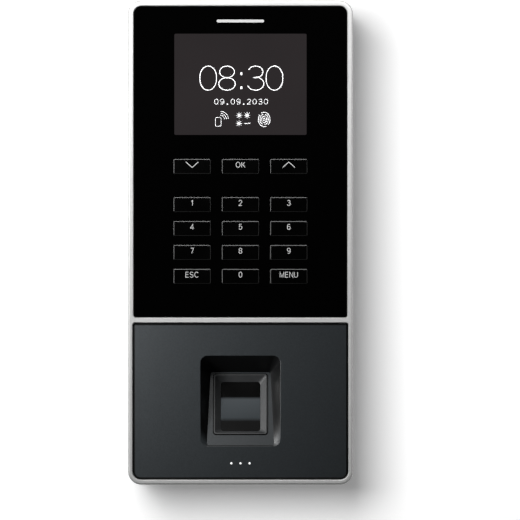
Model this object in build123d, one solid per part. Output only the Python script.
"""A wall-mounted fingerprint time terminal: a shell on a steel wall plate, with 15 moving keys.

Every piece is drawn in the wall's own frame, in millimetres: x runs to the right, y runs up and
z comes out of the wall, with the centre of the wall plate's back face at the origin. The last
step turns each piece so that the wall is the XZ plane, the front faces -Y and +Z is up.
"""
import os
from math import atan2, cos, radians, sin, tan

from build123d import *

# ---- The whole body
WIDTH = 95.0
HEIGHT = 204.3
DEPTH = 40.0
CORNER_R = 5.7
WALL = 2.0

# ---- Levels, as distances out from the wall
PLATE_T = 1.5
HOUSING_BACK_Z = 1.5
BACK_WALL_Z = 5.0
INNER_BACK_Z = BACK_WALL_Z + WALL
SEAM_Z = 26.0
LEDGE_Z = 35.2
LENS_BACK_Z = 37.5
LENS_FRONT_Z = 39.7
SENSOR_PANEL_BACK_Z = 37.1
SENSOR_PANEL_FRONT_Z = 39.5
TAPE_T = 0.15
MAIN_BOARD_Z = 21.0
FRONT_BOARD_Z = 30.2
BOARD_T = 1.6

# ---- Wall plate, its hooks and its lock flange
PLATE_W = 78.0
PLATE_H = 182.0
WALL_SCREW_X = 30.0
WALL_SCREW_Y = 60.0
WALL_SCREW_R = 2.3
CABLE_OPENING = (44.0, 34.0)
CABLE_OPENING_Y = -63.0
HOOK_X = 24.0
HINGE_Y = 86.0
HINGE_Z = BACK_WALL_Z + WALL / 2
HOOK_WIDTH = 10.0
FLANGE_Y = -PLATE_H / 2
FLANGE_REACH = 14.0
LOCK_Z = 11.0
LOCK_SLOT_R = 2.2

# ---- Rear housing
HOUSING_W = WIDTH - 2.0
HOUSING_H = HEIGHT - 2.0
BACK_CHAMFER = 4.0
PLATE_GAP = 1.0
CASE_SCREWS = [(x, y) for y in (88.0, -32.7, -88.0) for x in (-36.5, 36.5)]
BOARD_SCREWS = [(x, y) for y in (76.0, -16.0) for x in (-27.0, 27.0)]

# ---- Front frame: outlines as half width, low y, high y, bottom radius, top radius
UPPER_OPENING = (45.2, -31.65, 99.97, 1.0, 3.4)
LOWER_OPENING = (45.6, -100.06, -33.8, 3.5, 1.2)
LEDGE_WIDTH = 2.0
LENS_GAP = 0.15
SENSOR_PANEL_GAP = 0.25

# ---- Display, from its window back to its tray
DISPLAY_W = 55.8
DISPLAY_H = 42.7
DISPLAY_Y = 66.85
WINDOW_BACK_Z = 36.4
LCD_SIZE = (60.5, 47.0)
LCD_FRONT_Z = 36.1
LCD_BACK_Z = 34.6

# ---- Keys
KEY_W = 15.7
KEY_H = 6.25
KEY_R = 0.5
KEY_GAP = 0.15
KEY_COLUMNS = (-20.4, 0.0, 20.4)
ARROW_ROW_Y = 32.2
FIRST_DIGIT_ROW_Y = 16.1
ROW_PITCH = 10.1
KEY_NAMES = (
    ("key_down", "key_ok", "key_up"),
    ("key_1", "key_2", "key_3"),
    ("key_4", "key_5", "key_6"),
    ("key_7", "key_8", "key_9"),
    ("key_esc", "key_0", "key_menu"),
)
KEY_BEVEL = 0.3
LENS_BOSSES = [(x, y) for y in (24.2, -21.6) for x in (-24.0, 24.0)]
SHEET_Z = FRONT_BOARD_Z + BOARD_T + 0.1
SHEET_T = 1.0
DOME_TOP_Z = 35.0

# ---- Finger recess: its floor tilts from deep at the top to flush at the bottom
RECESS_W = 33.7
RECESS_LOW_Y = -85.9
RECESS_HIGH_Y = -47.7
RECESS_R = 3.0
FLOOR_LOW = (-85.5, 39.0)
FLOOR_HIGH = (-55.0, 28.5)
SENSOR_Y = -68.4
SENSOR_FRAME = (22.6, 26.5)
SENSOR_WINDOW = (16.8, 21.8)
WINDOW_SHIFT = -0.6
BEZEL_RISE = 0.4
STATUS_Y = -93.1
STATUS_PITCH = 3.84

# ---- Electronics behind the front
BOARD_FRONT_Z = MAIN_BOARD_Z + BOARD_T
HEADER_H = 3.6
CELL_PLACE = (14.0, 2.0)
SPEAKER_Y = 45.0
USB_BOX = (32.0, 46.4, 23.4, 36.6, 15.2, 21.0)
TAMPER_X = 30.0
TAMPER_Y = -74.0


# ---------------------------------------------------------------- drawing helpers
def slab(width, height, z0, z1, radius=0.0, cx=0.0, cy=0.0):
    """A flat block, rounded in plan, from level z0 to level z1."""
    sketch = RectangleRounded(width, height, radius) if radius else Rectangle(width, height)
    return extrude(Pos(cx, cy, z0) * sketch, z1 - z0)


def block(x0, x1, y0, y1, z0, z1):
    """A box between its low and high corners."""
    return Pos((x0 + x1) / 2, (y0 + y1) / 2, (z0 + z1) / 2) * Box(x1 - x0, y1 - y0, z1 - z0)


def rod(x, y, z0, z1, radius):
    """A round rod that points out of the wall."""
    return Pos(x, y, (z0 + z1) / 2) * Cylinder(radius, z1 - z0)


def upright_rod(x, z, y0, y1, radius):
    """A round rod that points up."""
    return Pos(x, (y0 + y1) / 2, z) * Rot(90, 0, 0) * Cylinder(radius, y1 - y0)


def rods(places, z0, z1, radius):
    """One rod at each place."""
    return [rod(x, y, z0, z1, radius) for x, y in places]


def outline(half_width, y0, y1, low_radius, high_radius):
    """A rectangle with one radius at its two lower corners and another at its two upper ones."""
    face = Pos(0, (y0 + y1) / 2) * Rectangle(2 * half_width, y1 - y0)
    ranks = face.vertices().group_by(Axis.Y)
    face = fillet(ranks[0], low_radius)
    return fillet(face.vertices().group_by(Axis.Y)[-1], high_radius)


def shrunk(shape, gap):
    """The same outline values, drawn in by a gap on every side."""
    half_width, y0, y1, low_radius, high_radius = shape
    radii = (max(low_radius - gap, 0.4), max(high_radius - gap, 0.4))
    return (half_width - gap, y0 + gap, y1 - gap, *radii)


def prism(shape, z0, z1):
    """An outline given thickness between two levels."""
    return extrude(Pos(0, 0, z0) * outline(*shape), z1 - z0)


def front_edges(solid, z):
    """The edges of a solid that lie flat in the level z."""
    return [e for e in solid.edges() if abs(e.center().Z - z) < 1e-4 and abs(e.bounding_box().size.Z) < 1e-4]


# ---------------------------------------------------------------- the wall side
def wall_plate():
    """Steel plate with four screw holes, two bent hooks and a slotted flange at its foot."""
    plate = slab(PLATE_W, PLATE_H, 0, PLATE_T, 4.0)
    for x in (-WALL_SCREW_X, WALL_SCREW_X):
        for y in (-WALL_SCREW_Y, WALL_SCREW_Y):
            plate -= rod(x, y, -1, PLATE_T + 1, WALL_SCREW_R)
    plate -= slab(*CABLE_OPENING, -1, PLATE_T + 1, 4.0, 0, CABLE_OPENING_Y)
    leg_top = HINGE_Y - 0.5
    for x in (-HOOK_X, HOOK_X):
        half = HOOK_WIDTH / 2
        plate += block(x - half, x + half, leg_top - PLATE_T, leg_top, 0.5, 9.5)
        plate += block(x - half, x + half, leg_top - PLATE_T, leg_top + 5.5, 8.0, 9.5)
        plate -= slab(HOOK_WIDTH + 0.8, 13.0, -1, PLATE_T + 1, 1.0, x, leg_top - PLATE_T - 6.5)
    flange = block(-14, 14, FLANGE_Y, FLANGE_Y + PLATE_T, 0, FLANGE_REACH)
    slot_z = LOCK_Z - 3.0
    flange -= upright_rod(0, slot_z, FLANGE_Y - 1, FLANGE_Y + PLATE_T + 1, LOCK_SLOT_R)
    flange -= block(-LOCK_SLOT_R, LOCK_SLOT_R, FLANGE_Y - 1, FLANGE_Y + 3, slot_z, FLANGE_REACH + 1)
    return plate + flange


def rear_housing():
    """Moulded shell that drops over the plate, with screw posts, standoffs and port openings."""
    shell = slab(HOUSING_W, HOUSING_H, HOUSING_BACK_Z, SEAM_Z, CORNER_R - 1.0)
    shell = chamfer(front_edges(shell, HOUSING_BACK_Z), BACK_CHAMFER)
    shell -= slab(HOUSING_W - 2 * WALL, HOUSING_H - 2 * WALL, INNER_BACK_Z, SEAM_Z + 1, 2.7)
    recess = (PLATE_W + 2 * PLATE_GAP, PLATE_H + 4 * PLATE_GAP)
    shell -= slab(*recess, 0, BACK_WALL_Z, 5.0)

    lip_outer = slab(WIDTH - 4.8, HEIGHT - 4.8, SEAM_Z - 4, SEAM_Z + 2, 3.3)
    lip_inner = slab(WIDTH - 7.0, HEIGHT - 7.0, SEAM_Z - 5, SEAM_Z + 3, 2.2)
    shell += lip_outer - lip_inner

    for post in rods(CASE_SCREWS, BACK_WALL_Z + 0.5, SEAM_Z, 4.0):
        shell += post
    for standoff in rods(BOARD_SCREWS, BACK_WALL_Z + 0.5, MAIN_BOARD_Z, 3.0):
        shell += standoff
    for hole in rods(CASE_SCREWS, 3, 17, 2.7) + rods(CASE_SCREWS, 16, SEAM_Z + 1, 1.4):
        shell -= hole
    for hole in rods(BOARD_SCREWS, 11, MAIN_BOARD_Z + 1, 1.2):
        shell -= hole

    for x in (-HOOK_X, HOOK_X):
        shell -= slab(HOOK_WIDTH + 4.0, 9.0, 3, INNER_BACK_Z + 1, 1.0, x, HINGE_Y - 4.5)
    shell -= slab(CABLE_OPENING[0] + 22, CABLE_OPENING[1], 3, INNER_BACK_Z + 1, 3.0, 0, CABLE_OPENING_Y)

    lower_lock_top = FLANGE_Y - 0.4
    upper_lock_foot = FLANGE_Y + PLATE_T + 0.8
    inner_floor = -HOUSING_H / 2 + WALL
    shell += block(-4, 4, inner_floor - 0.5, lower_lock_top, INNER_BACK_Z - 0.5, 15)
    shell += block(-4, 4, upper_lock_foot, upper_lock_foot + 6.5, INNER_BACK_Z - 0.5, 15)
    shell -= block(-16, 16, FLANGE_Y - 3, upper_lock_foot - 0.2, 3, INNER_BACK_Z + 0.001)
    shell -= upright_rod(0, LOCK_Z, -HOUSING_H / 2 - 1, lower_lock_top + 1, 1.7)
    shell -= upright_rod(0, LOCK_Z, -HOUSING_H / 2 - 1, -HOUSING_H / 2 + 2.2, 3.0)
    shell -= upright_rod(0, LOCK_Z, upper_lock_foot - 1, upper_lock_foot + 8, 1.5)

    for row in range(5):
        slot_y = SPEAKER_Y + (row - 2) * 4.0
        shell -= slab(16.0 - 4.0 * abs(row - 2) / 2, 1.6, 3, INNER_BACK_Z + 1, 0.75, 0, slot_y)
    _, _, usb_y0, usb_y1, usb_z0, usb_z1 = USB_BOX
    shell -= block(43, 48, usb_y0 - 0.3, usb_y1 + 0.3, usb_z0 - 0.3, usb_z1 + 0.3)
    shell -= rod(TAMPER_X, TAMPER_Y, 3, INNER_BACK_Z + 1, 1.65)
    return shell


# ---------------------------------------------------------------- the front side
def front_frame():
    """Silver frame with a crossbar, ledges for both panels and six screw posts."""
    frame = slab(WIDTH, HEIGHT, SEAM_Z, DEPTH, CORNER_R)
    frame = fillet(front_edges(frame, DEPTH), 0.9)
    frame -= slab(WIDTH - 4.4, HEIGHT - 4.4, SEAM_Z - 1, LEDGE_Z, 3.5)
    lens_ledge = LENS_BACK_Z - TAPE_T
    sensor_ledge = SENSOR_PANEL_BACK_Z - TAPE_T
    frame -= prism(UPPER_OPENING, lens_ledge, DEPTH + 1)
    frame -= prism(LOWER_OPENING, sensor_ledge, DEPTH + 1)
    frame -= prism(shrunk(UPPER_OPENING, LEDGE_WIDTH), LEDGE_Z - 1, lens_ledge + 1)
    frame -= prism(shrunk(LOWER_OPENING, LEDGE_WIDTH), LEDGE_Z - 1, sensor_ledge + 1)
    frame = chamfer(
        [e for e in front_edges(frame, DEPTH) if e.bounding_box().size.X < WIDTH - 4 and abs(e.center().X) < 46],
        0.25,
    )

    crossbar_y = (UPPER_OPENING[1] + LOWER_OPENING[2]) / 2
    frame += block(-45.5, 45.5, crossbar_y - 1.1, crossbar_y + 1.1, SEAM_Z + 2.5, LEDGE_Z + 0.5)
    side_x = WIDTH / 2 - 2.0
    end_y = HEIGHT / 2 - 2.0
    for x, y in CASE_SCREWS:
        frame += rod(x, y, SEAM_Z, LEDGE_Z, 3.5)
        if abs(y) > 50:
            out_x, out_y = (1 if x > 0 else -1), (1 if y > 0 else -1)
            x_ends = sorted((x, out_x * side_x))
            y_ends = sorted((y, out_y * end_y))
            frame += block(*x_ends, y - 1, y + 1, SEAM_Z + 2.5, LEDGE_Z)
            frame += block(x - 1, x + 1, *y_ends, SEAM_Z + 2.5, LEDGE_Z)
    for hole in rods(CASE_SCREWS, SEAM_Z - 1, LEDGE_Z - 1.2, 1.25):
        frame -= hole
    return frame


def key_places():
    """Each key's name and the centre of its cap."""
    row_ys = [ARROW_ROW_Y] + [FIRST_DIGIT_ROW_Y - i * ROW_PITCH for i in range(4)]
    return [
        (name, x, y)
        for names, y in zip(KEY_NAMES, row_ys)
        for name, x in zip(names, KEY_COLUMNS)
    ]


def lens_panel():
    """Gloss black moulding with a display window, fifteen key holes and four screw bosses."""
    panel = prism(shrunk(UPPER_OPENING, LENS_GAP), LENS_BACK_Z, LENS_FRONT_Z)
    panel = chamfer(front_edges(panel, LENS_FRONT_Z), 0.2)
    panel -= slab(DISPLAY_W, DISPLAY_H, LENS_BACK_Z - 1, LENS_FRONT_Z + 1, 0.6, 0, DISPLAY_Y)
    for _, x, y in key_places():
        size = (KEY_W + 2 * KEY_GAP, KEY_H + 2 * KEY_GAP)
        panel -= slab(*size, LENS_BACK_Z - 1, LENS_FRONT_Z + 1, KEY_R + KEY_GAP, x, y)
    for boss in rods(LENS_BOSSES, FRONT_BOARD_Z + BOARD_T, LENS_BACK_Z + 0.3, 2.0):
        panel += boss
    for hole in rods(LENS_BOSSES, FRONT_BOARD_Z, LENS_BACK_Z - 1.5, 0.9):
        panel -= hole
    return panel


def ledge_tape(opening, gap, z_top):
    """Thin ring of adhesive tape between a panel and the frame's ledge."""
    outer = prism(shrunk(opening, gap + 0.1), z_top - TAPE_T, z_top)
    return outer - prism(shrunk(opening, LEDGE_WIDTH), z_top - 1, z_top + 1)


def display_window():
    """Clear insert, flush with the lens panel, with a flange glued behind it."""
    window = slab(DISPLAY_W - 0.1, DISPLAY_H - 0.1, WINDOW_BACK_Z, LENS_FRONT_Z, 0.55, 0, DISPLAY_Y)
    return window + slab(DISPLAY_W + 4.2, DISPLAY_H + 4.3, WINDOW_BACK_Z, LENS_BACK_Z, 0.8, 0, DISPLAY_Y)


def key(x, y):
    """One key: a bevelled cap, a flange that stops behind the panel and a short stem."""
    flange_front = LENS_BACK_Z - 0.05
    flange_back = flange_front - 1.25
    cap = slab(KEY_W, KEY_H, flange_back, LENS_FRONT_Z, KEY_R, x, y)
    cap = chamfer(front_edges(cap, LENS_FRONT_Z), KEY_BEVEL)
    cap += slab(KEY_W + 1.9, KEY_H + 1.8, flange_back, flange_front, 0.8, x, y)
    return cap + rod(x, y, DOME_TOP_Z + 0.02, flange_front - 1.0, 1.8)


def keypad_membrane():
    """Silicone sheet with one hollow dome under each key."""
    sheet = slab(59.6, 57.5, SHEET_Z, SHEET_Z + SHEET_T, 2.0, 0, 8.75)
    dome_h = DOME_TOP_Z - SHEET_Z - SHEET_T
    for _, x, y in key_places():
        middle = SHEET_Z + SHEET_T + dome_h / 2
        sheet += Pos(x, y, middle) * Cone(3.1, 2.2, dome_h)
    for _, x, y in key_places():
        hollow_h = DOME_TOP_Z - 0.8 - SHEET_Z
        sheet -= Pos(x, y, SHEET_Z + hollow_h / 2) * Cone(2.6, 1.6, hollow_h)
    for hole in rods(LENS_BOSSES, SHEET_Z - 1, SHEET_Z + 3, 2.3):
        sheet -= hole
    return sheet


def front_board():
    """Circuit board behind the keys and the display."""
    board = slab(65.2, 124.5, FRONT_BOARD_Z, FRONT_BOARD_Z + BOARD_T, 2.0, 0, 31.75)
    for hole in rods(LENS_BOSSES, FRONT_BOARD_Z - 1, FRONT_BOARD_Z + 3, 1.0):
        board -= hole
    return board


def lcd_frame():
    """Tray that holds the display's backlight and glass."""
    base_z = FRONT_BOARD_Z + BOARD_T
    tray = slab(65.0, 51.0, base_z, LCD_FRONT_Z + 0.1, 1.0, 0, DISPLAY_Y)
    pocket = (LCD_SIZE[0] + 0.4, LCD_SIZE[1] + 0.4)
    return tray - slab(*pocket, base_z + 1.4, WINDOW_BACK_Z, 0.6, 0, DISPLAY_Y)


def lcd_backlight():
    """Light guide under the glass."""
    return slab(*LCD_SIZE, FRONT_BOARD_Z + BOARD_T + 1.4, LCD_BACK_Z, 0.5, 0, DISPLAY_Y)


def lcd_glass():
    """Liquid crystal glass, seen through the window."""
    return slab(*LCD_SIZE, LCD_BACK_Z, LCD_FRONT_Z, 0.5, 0, DISPLAY_Y)


def rfid_antenna():
    """Ring-shaped reader antenna on the back of the front board."""
    ring = slab(63.0, 61.0, FRONT_BOARD_Z - 0.8, FRONT_BOARD_Z, 3.0, 0, 4.0)
    return ring - slab(54.6, 55.8, FRONT_BOARD_Z - 2, FRONT_BOARD_Z + 1, 2.0, 0, 4.0)


def screws(places, head_z0, head_z1, tip_z, head_r, shank_r):
    """Screws that point out of the wall or into it, with a cross recess in each head."""
    inward = tip_z < head_z0
    made = []
    for x, y in places:
        head = rod(x, y, head_z0, head_z1, head_r)
        shank_ends = sorted((tip_z, head_z0 + 0.1 if inward else head_z1 - 0.1))
        screw = head + rod(x, y, *shank_ends, shank_r)
        face_z = head_z1 if inward else head_z0
        depth = 0.7 if inward else -0.7
        for arm in ((head_r, 0.5), (0.5, head_r)):
            low, high = sorted((face_z - depth, face_z + depth))
            screw -= block(x - arm[0] / 2, x + arm[0] / 2, y - arm[1] / 2, y + arm[1] / 2, low, high)
        made.append(screw)
    return made


# ---------------------------------------------------------------- the fingerprint sensor
FLOOR_TILT = atan2(FLOOR_LOW[1] - FLOOR_HIGH[1], FLOOR_HIGH[0] - FLOOR_LOW[0])
FLOOR_Z = FLOOR_HIGH[1] + (FLOOR_HIGH[0] - SENSOR_Y) * tan(FLOOR_TILT)
FLOOR = Plane(origin=(0, SENSOR_Y, FLOOR_Z), x_dir=(1, 0, 0), z_dir=(0, sin(FLOOR_TILT), cos(FLOOR_TILT)))


def on_floor(y):
    """Distance up the tilted floor from the sensor's centre to a level y."""
    return (y - SENSOR_Y) / cos(FLOOR_TILT)


def tilted(width, height, low, high, radius=0.0, shift=0.0):
    """A flat block on the tilted floor, measured square to it."""
    face = RectangleRounded(width, height, radius) if radius else Rectangle(width, height)
    return extrude(FLOOR * Pos(0, shift, low) * face, high - low)


def recess_cavity():
    """The finger recess: a rounded opening that draws in to the tilted floor."""
    centre_y = (RECESS_LOW_Y + RECESS_HIGH_Y) / 2
    mouth = RectangleRounded(RECESS_W, RECESS_HIGH_Y - RECESS_LOW_Y, RECESS_R)
    low_y, high_y = on_floor(FLOOR_LOW[0]), on_floor(FLOOR_HIGH[0])
    low_half, high_half = 14.2, 12.7
    corners = [(-low_half, low_y), (low_half, low_y), (high_half, high_y), (-high_half, high_y)]
    floor = make_face(Polyline(*corners, close=True))
    floor = fillet(floor.vertices(), 1.0)
    top = Pos(0, centre_y, SENSOR_PANEL_FRONT_Z) * mouth
    return loft([FLOOR * floor, top], ruled=True)


def sensor_panel():
    """Textured panel with the finger recess, its well, light-pipe holes and board posts."""
    panel = prism(shrunk(LOWER_OPENING, SENSOR_PANEL_GAP), SENSOR_PANEL_BACK_Z, SENSOR_PANEL_FRONT_Z)
    panel = chamfer(front_edges(panel, SENSOR_PANEL_FRONT_Z), 0.8)
    well = block(-19.5, 19.5, -89.5, -44.5, 20, SENSOR_PANEL_BACK_Z + 0.5)
    well &= tilted(60, 80, -2.2, 30)
    panel += well
    panel -= recess_cavity()
    rim = [
        e
        for e in front_edges(panel, SENSOR_PANEL_FRONT_Z)
        if abs(e.center().X) < 18 and RECESS_LOW_Y - 1 < e.center().Y < RECESS_HIGH_Y + 1
    ]
    panel = fillet(rim, 0.35)
    panel -= tilted(SENSOR_FRAME[0] + 0.8, SENSOR_FRAME[1] + 0.8, -4, 6, 1.4)
    for x in (-STATUS_PITCH, 0, STATUS_PITCH):
        panel -= rod(x, STATUS_Y, SENSOR_PANEL_BACK_Z - 1, DEPTH, 0.55)
    for x in (-7.0, 7.0):
        panel += rod(x, STATUS_Y, 33.2, SENSOR_PANEL_BACK_Z + 0.3, 1.2)
    return panel


def sensor_bezel():
    """Frame round the window: a funnel that slopes down to the glass, with a flange behind."""
    width, height = SENSOR_FRAME
    bezel = tilted(width, height, -3.6, BEZEL_RISE, 1.1)
    bezel += tilted(width + 4.4, height + 3.6, -3.6, -2.4, 1.5)
    mouth = FLOOR * Pos(0, 0, BEZEL_RISE) * RectangleRounded(width - 1.0, height - 1.0, 0.9)
    throat = FLOOR * Pos(0, WINDOW_SHIFT, -1.2) * RectangleRounded(*SENSOR_WINDOW, 1.3)
    bezel -= loft([throat, mouth], ruled=True)
    return bezel - tilted(*SENSOR_WINDOW, -5, -1.0, 1.3, WINDOW_SHIFT)


def sensor_prism():
    """Glass block that the finger rests on, cut to a slope behind."""
    prism_block = tilted(SENSOR_WINDOW[0] - 0.2, SENSOR_WINDOW[1] - 0.2, -10.5, -1.25, 1.2, WINDOW_SHIFT)
    cutter = FLOOR * Pos(0, -14, -16) * Rot(22, 0, 0) * Box(30, 40, 10)
    return prism_block - cutter


def sensor_housing():
    """Black tunnel behind the bezel that carries the prism and the camera lens."""
    tunnel = tilted(23.0, 29.0, -15.5, -3.6, 1.5)
    tunnel -= tilted(SENSOR_WINDOW[0] + 0.2, SENSOR_WINDOW[1] + 0.2, -12.5, -3, 1.0, WINDOW_SHIFT)
    return tunnel - FLOOR * Pos(0, 0, -14) * Cylinder(3.2, 5)


def sensor_lens():
    """Small camera lens in the tunnel's floor."""
    return FLOOR * Pos(0, 0, -14) * Cylinder(3.0, 2.9)


def sensor_board():
    """Circuit board that closes the tunnel."""
    return tilted(25.0, 31.0, -17.0, -15.5, 1.0)


def light_pipe(x):
    """Clear pin that carries one indicator light to the surface."""
    return rod(x, STATUS_Y, 34.1, SENSOR_PANEL_FRONT_Z + 0.05, 0.5) + rod(x, STATUS_Y, 35.9, 37.0, 0.95)


def status_led(x):
    """Light-emitting chip behind one light pipe."""
    return block(x - 0.8, x + 0.8, STATUS_Y - 0.5, STATUS_Y + 0.5, 33.2, 34.0)


# ---------------------------------------------------------------- the electronics inside
def main_board():
    """Main circuit board, with an ear that carries the side port."""
    board = slab(62.0, 122.0, MAIN_BOARD_Z, BOARD_FRONT_Z, 2.0, 0, 21.0)
    board += block(30, 42, 18, 42, MAIN_BOARD_Z, BOARD_FRONT_Z)
    for hole in rods(BOARD_SCREWS, MAIN_BOARD_Z - 1, MAIN_BOARD_Z + 3, 1.4):
        board -= hole
    return board


def board_chips():
    """Processor, memory, radio and power chips."""
    sizes = [(14, 14, 12, 44, 1.4), (9, 11, 12, 28, 1.0), (7, 7, -14, 24, 1.0), (5, 5, -24, 12, 0.9)]
    sizes += [(6, 5, 24, 56, 1.1), (4, 6, -12, -22, 1.2)]
    return [slab(w, h, BOARD_FRONT_Z, BOARD_FRONT_Z + t, 0, x, y) for w, h, x, y, t in sizes]


def shield_can():
    """Pressed metal can over the radio module."""
    can = slab(20, 24, BOARD_FRONT_Z, BOARD_FRONT_Z + 2.6, 0.8, -16, 52)
    return can - slab(19.4, 23.4, BOARD_FRONT_Z - 1, BOARD_FRONT_Z + 2.3, 0.5, -16, 52)


def board_capacitors():
    """Three can capacitors near the power inlet."""
    places = [(-24, 0), (-16, 0), (-20, -9)]
    return rods(places, BOARD_FRONT_Z, BOARD_FRONT_Z + 5.2, 2.9)


def board_connectors():
    """Headers for the display, sensor, speaker and front board."""
    places = [(20, -35, 12), (0, -35, 12), (-20, -35, 8), (0, 72, 14)]
    made = []
    for x, y, width in places:
        header = slab(width, 5, BOARD_FRONT_Z, BOARD_FRONT_Z + HEADER_H, 0, x, y)
        pocket = slab(width - 1.6, 3.4, BOARD_FRONT_Z + 1.2, BOARD_FRONT_Z + 6, 0, x, y + 2)
        made.append(header - pocket)
    return made


def battery_holder():
    """Open cup for the clock's backup cell."""
    x, y = CELL_PLACE
    cup = rod(x, y, BOARD_FRONT_Z, BOARD_FRONT_Z + 3.4, 11.3)
    cup -= rod(x, y, BOARD_FRONT_Z + 0.8, BOARD_FRONT_Z + 5, 10.1)
    return cup - block(x - 14, x + 14, y - 4, y + 4, BOARD_FRONT_Z + 0.8, BOARD_FRONT_Z + 5)


def coin_cell():
    """Backup cell, 20 mm across and 3.2 mm thick."""
    x, y = CELL_PLACE
    cell = rod(x, y, BOARD_FRONT_Z + 0.8, BOARD_FRONT_Z + 1.4, 10.0)
    return cell + rod(x, y, BOARD_FRONT_Z + 1.4, BOARD_FRONT_Z + 4.0, 9.3)


def ethernet_jack():
    """Network socket on the board's wall side, open downwards."""
    body = block(-30, -14, -44, -23, MAIN_BOARD_Z - 13.5, MAIN_BOARD_Z)
    middle_x = -22.0
    body -= block(middle_x - 5.9, middle_x + 5.9, -45, -30, MAIN_BOARD_Z - 11.0, MAIN_BOARD_Z - 3.0)
    return body - block(middle_x - 3, middle_x + 3, -45, -30, MAIN_BOARD_Z - 12.6, MAIN_BOARD_Z - 10)


def dc_jack():
    """Power inlet beside the network socket, with a centre pin."""
    body = block(17.5, 26.5, -44, -30, MAIN_BOARD_Z - 11, MAIN_BOARD_Z)
    middle_z = MAIN_BOARD_Z - 5.8
    body -= upright_rod(22, middle_z, -45, -34, 2.8)
    return body + upright_rod(22, middle_z, -43, -33, 1.0)


def usb_port():
    """Side socket for a memory stick: a metal sleeve with a tongue."""
    x0, x1, y0, y1, z0, z1 = USB_BOX
    sleeve = block(*USB_BOX) - block(x0 + 1.0, x1 + 1, y0 + 0.5, y1 - 0.5, z0 + 0.5, z1 - 0.5)
    return sleeve + block(x0 + 0.5, x1 - 1.2, y0 + 1.4, y1 - 1.4, z0 + 2.9, z1 - 1.2)


def speaker():
    """Round speaker behind the slots in the back wall."""
    basket = rod(0, SPEAKER_Y, INNER_BACK_Z + 1, INNER_BACK_Z + 4.5, 14.0)
    basket -= Pos(0, SPEAKER_Y, INNER_BACK_Z + 2.0) * Cone(12.0, 6.0, 2.0)
    return basket + rod(0, SPEAKER_Y, INNER_BACK_Z + 4, INNER_BACK_Z + 8, 8.0)


def speaker_gasket():
    """Foam ring between the speaker and the back wall."""
    ring = rod(0, SPEAKER_Y, INNER_BACK_Z, INNER_BACK_Z + 1, 14.0)
    return ring - rod(0, SPEAKER_Y, 0, INNER_BACK_Z + 3, 12.2)


def wifi_antenna():
    """Small printed antenna on the inside of the top wall."""
    top = HOUSING_H / 2 - WALL
    return block(-18, 18, top - 0.8, top, 11, 20)


def lock_screw():
    """Captive screw that comes up through the bottom wall and clamps the plate's flange."""
    foot = -HOUSING_H / 2 + 0.1
    head = upright_rod(0, LOCK_Z, foot, foot + 2.1, 2.7)
    screw = head + upright_rod(0, LOCK_Z, foot + 2, -83.5, 1.48)
    for half_x, half_z in ((1.6, 0.3), (0.3, 1.6)):
        screw -= block(-half_x, half_x, foot - 1, foot + 0.9, LOCK_Z - half_z, LOCK_Z + half_z)
    return screw


def tamper_switch():
    """Switch on two feet inside the back wall, bored for its plunger."""
    body = block(TAMPER_X - 5.5, TAMPER_X + 5.5, TAMPER_Y - 3.5, TAMPER_Y + 3.5, 10.5, 19)
    for x in (TAMPER_X - 4.75, TAMPER_X + 4.75):
        body += block(x - 0.75, x + 0.75, TAMPER_Y - 3.5, TAMPER_Y + 3.5, INNER_BACK_Z, 11)
    return body - rod(TAMPER_X, TAMPER_Y, 9, 16.5, 1.56)


def tamper_plunger():
    """Pin that the wall plate holds in, with a collar that stops it inside the back wall."""
    pin = rod(TAMPER_X, TAMPER_Y, PLATE_T + 0.05, 15, 1.5)
    return pin + rod(TAMPER_X, TAMPER_Y, 8.75, 9.9, 2.7)


# ---------------------------------------------------------------- the leads inside
def tube(points, turn_radii, radius):
    """A round lead along straight runs that tangent arcs join."""
    path = FilletPolyline(*points, radius=turn_radii)
    start = Plane(origin=path @ 0, z_dir=path % 0)
    return sweep(start * Circle(radius), path=path)


def turn_radii(points):
    """The largest arc that each corner's shorter run allows."""
    corners = [Vector(*point) for point in points]
    radii = []
    for before, corner, after in zip(corners, corners[1:], corners[2:]):
        turn = radians((corner - before).get_angle(after - corner))
        shorter = min((corner - before).length, (after - corner).length)
        radii.append(0.45 * shorter / tan(turn / 2))
    return radii


def lead(points, radius):
    """A round lead with its corners as wide as they can be."""
    return tube(points, turn_radii(points), radius)


def display_flex():
    """Flat strip from a header on the main board up to the front board's lower edge."""
    header_top = BOARD_FRONT_Z + HEADER_H
    points = [(0, -35, header_top), (0, -35, 28.0), (0, -28.7, 28.0), (0, -28.7, FRONT_BOARD_Z)]
    path = FilletPolyline(*points, radius=turn_radii(points))
    start = Plane(origin=path @ 0, x_dir=(1, 0, 0), z_dir=path % 0)
    return sweep(start * Rectangle(10.0, 0.3), path=path)


def sensor_cable():
    """Round lead from the back of the sensor board to the main board's side-entry header."""
    on_board = FLOOR * Pos(8, 9, -17)
    behind_board = FLOOR * Pos(8, 9, -20)
    points = [tuple(on_board.position), tuple(behind_board.position)]
    points += [(10.5, -57, 9.6), (12, -48.5, 12.0), (14, -42.4, 17.5), (17.5, -42.4, 24.6), (18, -37.5, 24.8)]
    return lead(points, 0.9)


def speaker_leads():
    """Two thin leads from the speaker to pads on the main board's wall side."""
    route = [(10, 45, 11.5), (10, 45, 14), (12, 50, 16), (14, 56, 17), (14.2, 58, MAIN_BOARD_Z - 1.5)]
    route += [(14.2, 58.1, MAIN_BOARD_Z - 0.02)]
    return [lead([(x + shift, y, z) for x, y, z in route], 0.5) for shift in (0, 1.6)]


def wifi_lead():
    """Thin coaxial lead from the antenna round the board's top edge to the radio can."""
    antenna_y = HOUSING_H / 2 - WALL - 0.8
    points = [(0, antenna_y, 14), (0, 93, 14), (-6, 87.5, 17), (-13, 85, 22.5), (-16, 79, 24.8)]
    points += [(-16, 71, 24.2), (-15.5, 64, 24.0)]
    return lead(points, 0.55)


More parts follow.
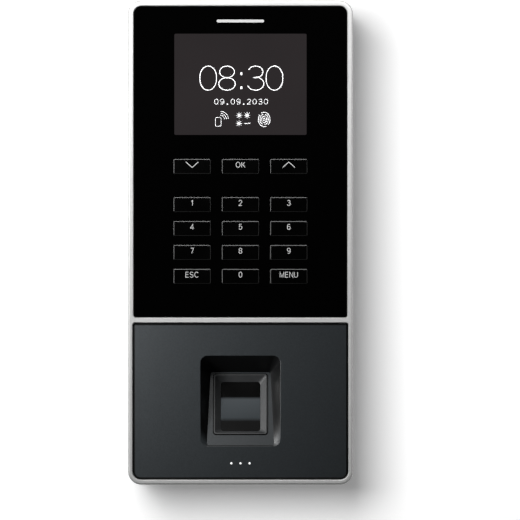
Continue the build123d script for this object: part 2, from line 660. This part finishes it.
# ---------------------------------------------------------------- writing the pieces
def group(solids):
    """Several separate solids kept as one piece."""
    return Part() + list(solids)


def all_pieces():
    """Every piece by name, in the wall's frame."""
    status_xs = (-STATUS_PITCH, 0.0, STATUS_PITCH)
    led_board = slab(17.0, 6.0, 32.0, 33.2, 0.5, 0, STATUS_Y)
    pieces = {
        "wall_plate": wall_plate(),
        "rear_housing": rear_housing(),
        "front_frame": front_frame(),
        "lens_panel": lens_panel(),
        "lens_tape": ledge_tape(UPPER_OPENING, LENS_GAP, LENS_BACK_Z),
        "display_window": display_window(),
        "lcd_frame": lcd_frame(),
        "lcd_backlight": lcd_backlight(),
        "lcd_glass": lcd_glass(),
        "keypad_membrane": keypad_membrane(),
        "front_board": front_board(),
        "front_board_screws": group(screws(LENS_BOSSES, 28.8, FRONT_BOARD_Z, 35.5, 1.9, 0.88)),
        "rfid_antenna": rfid_antenna(),
        "sensor_panel": sensor_panel(),
        "sensor_panel_tape": ledge_tape(LOWER_OPENING, SENSOR_PANEL_GAP, SENSOR_PANEL_BACK_Z),
        "sensor_bezel": sensor_bezel(),
        "sensor_prism": sensor_prism(),
        "sensor_housing": sensor_housing(),
        "sensor_lens": sensor_lens(),
        "sensor_board": sensor_board(),
        "status_light_pipes": group(light_pipe(x) for x in status_xs),
        "status_leds": group(status_led(x) for x in status_xs),
        "status_board": led_board,
        "main_board": main_board(),
        "board_chips": group(board_chips()),
        "shield_can": shield_can(),
        "board_capacitors": group(board_capacitors()),
        "board_connectors": group(board_connectors()),
        "battery_holder": battery_holder(),
        "coin_cell": coin_cell(),
        "ethernet_jack": ethernet_jack(),
        "usb_port": usb_port(),
        "dc_jack": dc_jack(),
        "speaker": speaker(),
        "speaker_gasket": speaker_gasket(),
        "wifi_antenna": wifi_antenna(),
        "case_screws": group(screws(CASE_SCREWS, 15.0, 17.0, 33.0, 2.5, 1.24)),
        "board_screws": group(screws(BOARD_SCREWS, BOARD_FRONT_Z, BOARD_FRONT_Z + 1.6, 12.0, 2.3, 1.18)),
        "lock_screw": lock_screw(),
        "tamper_switch": tamper_switch(),
        "tamper_plunger": tamper_plunger(),
        "display_flex": display_flex(),
        "sensor_cable": sensor_cable(),
        "speaker_leads": group(speaker_leads()),
        "wifi_lead": wifi_lead(),
    }
    for name, x, y in key_places():
        pieces[name] = key(x, y)
    return pieces


# Turns the wall's frame to the part's own frame, with +Z up and the front towards -Y.
TO_PART_FRAME = Rot(90, 0, 0)

os.makedirs("parts", exist_ok=True)
for piece_name, piece in all_pieces().items():
    export_step(TO_PART_FRAME * piece, f"parts/{piece_name}.step")
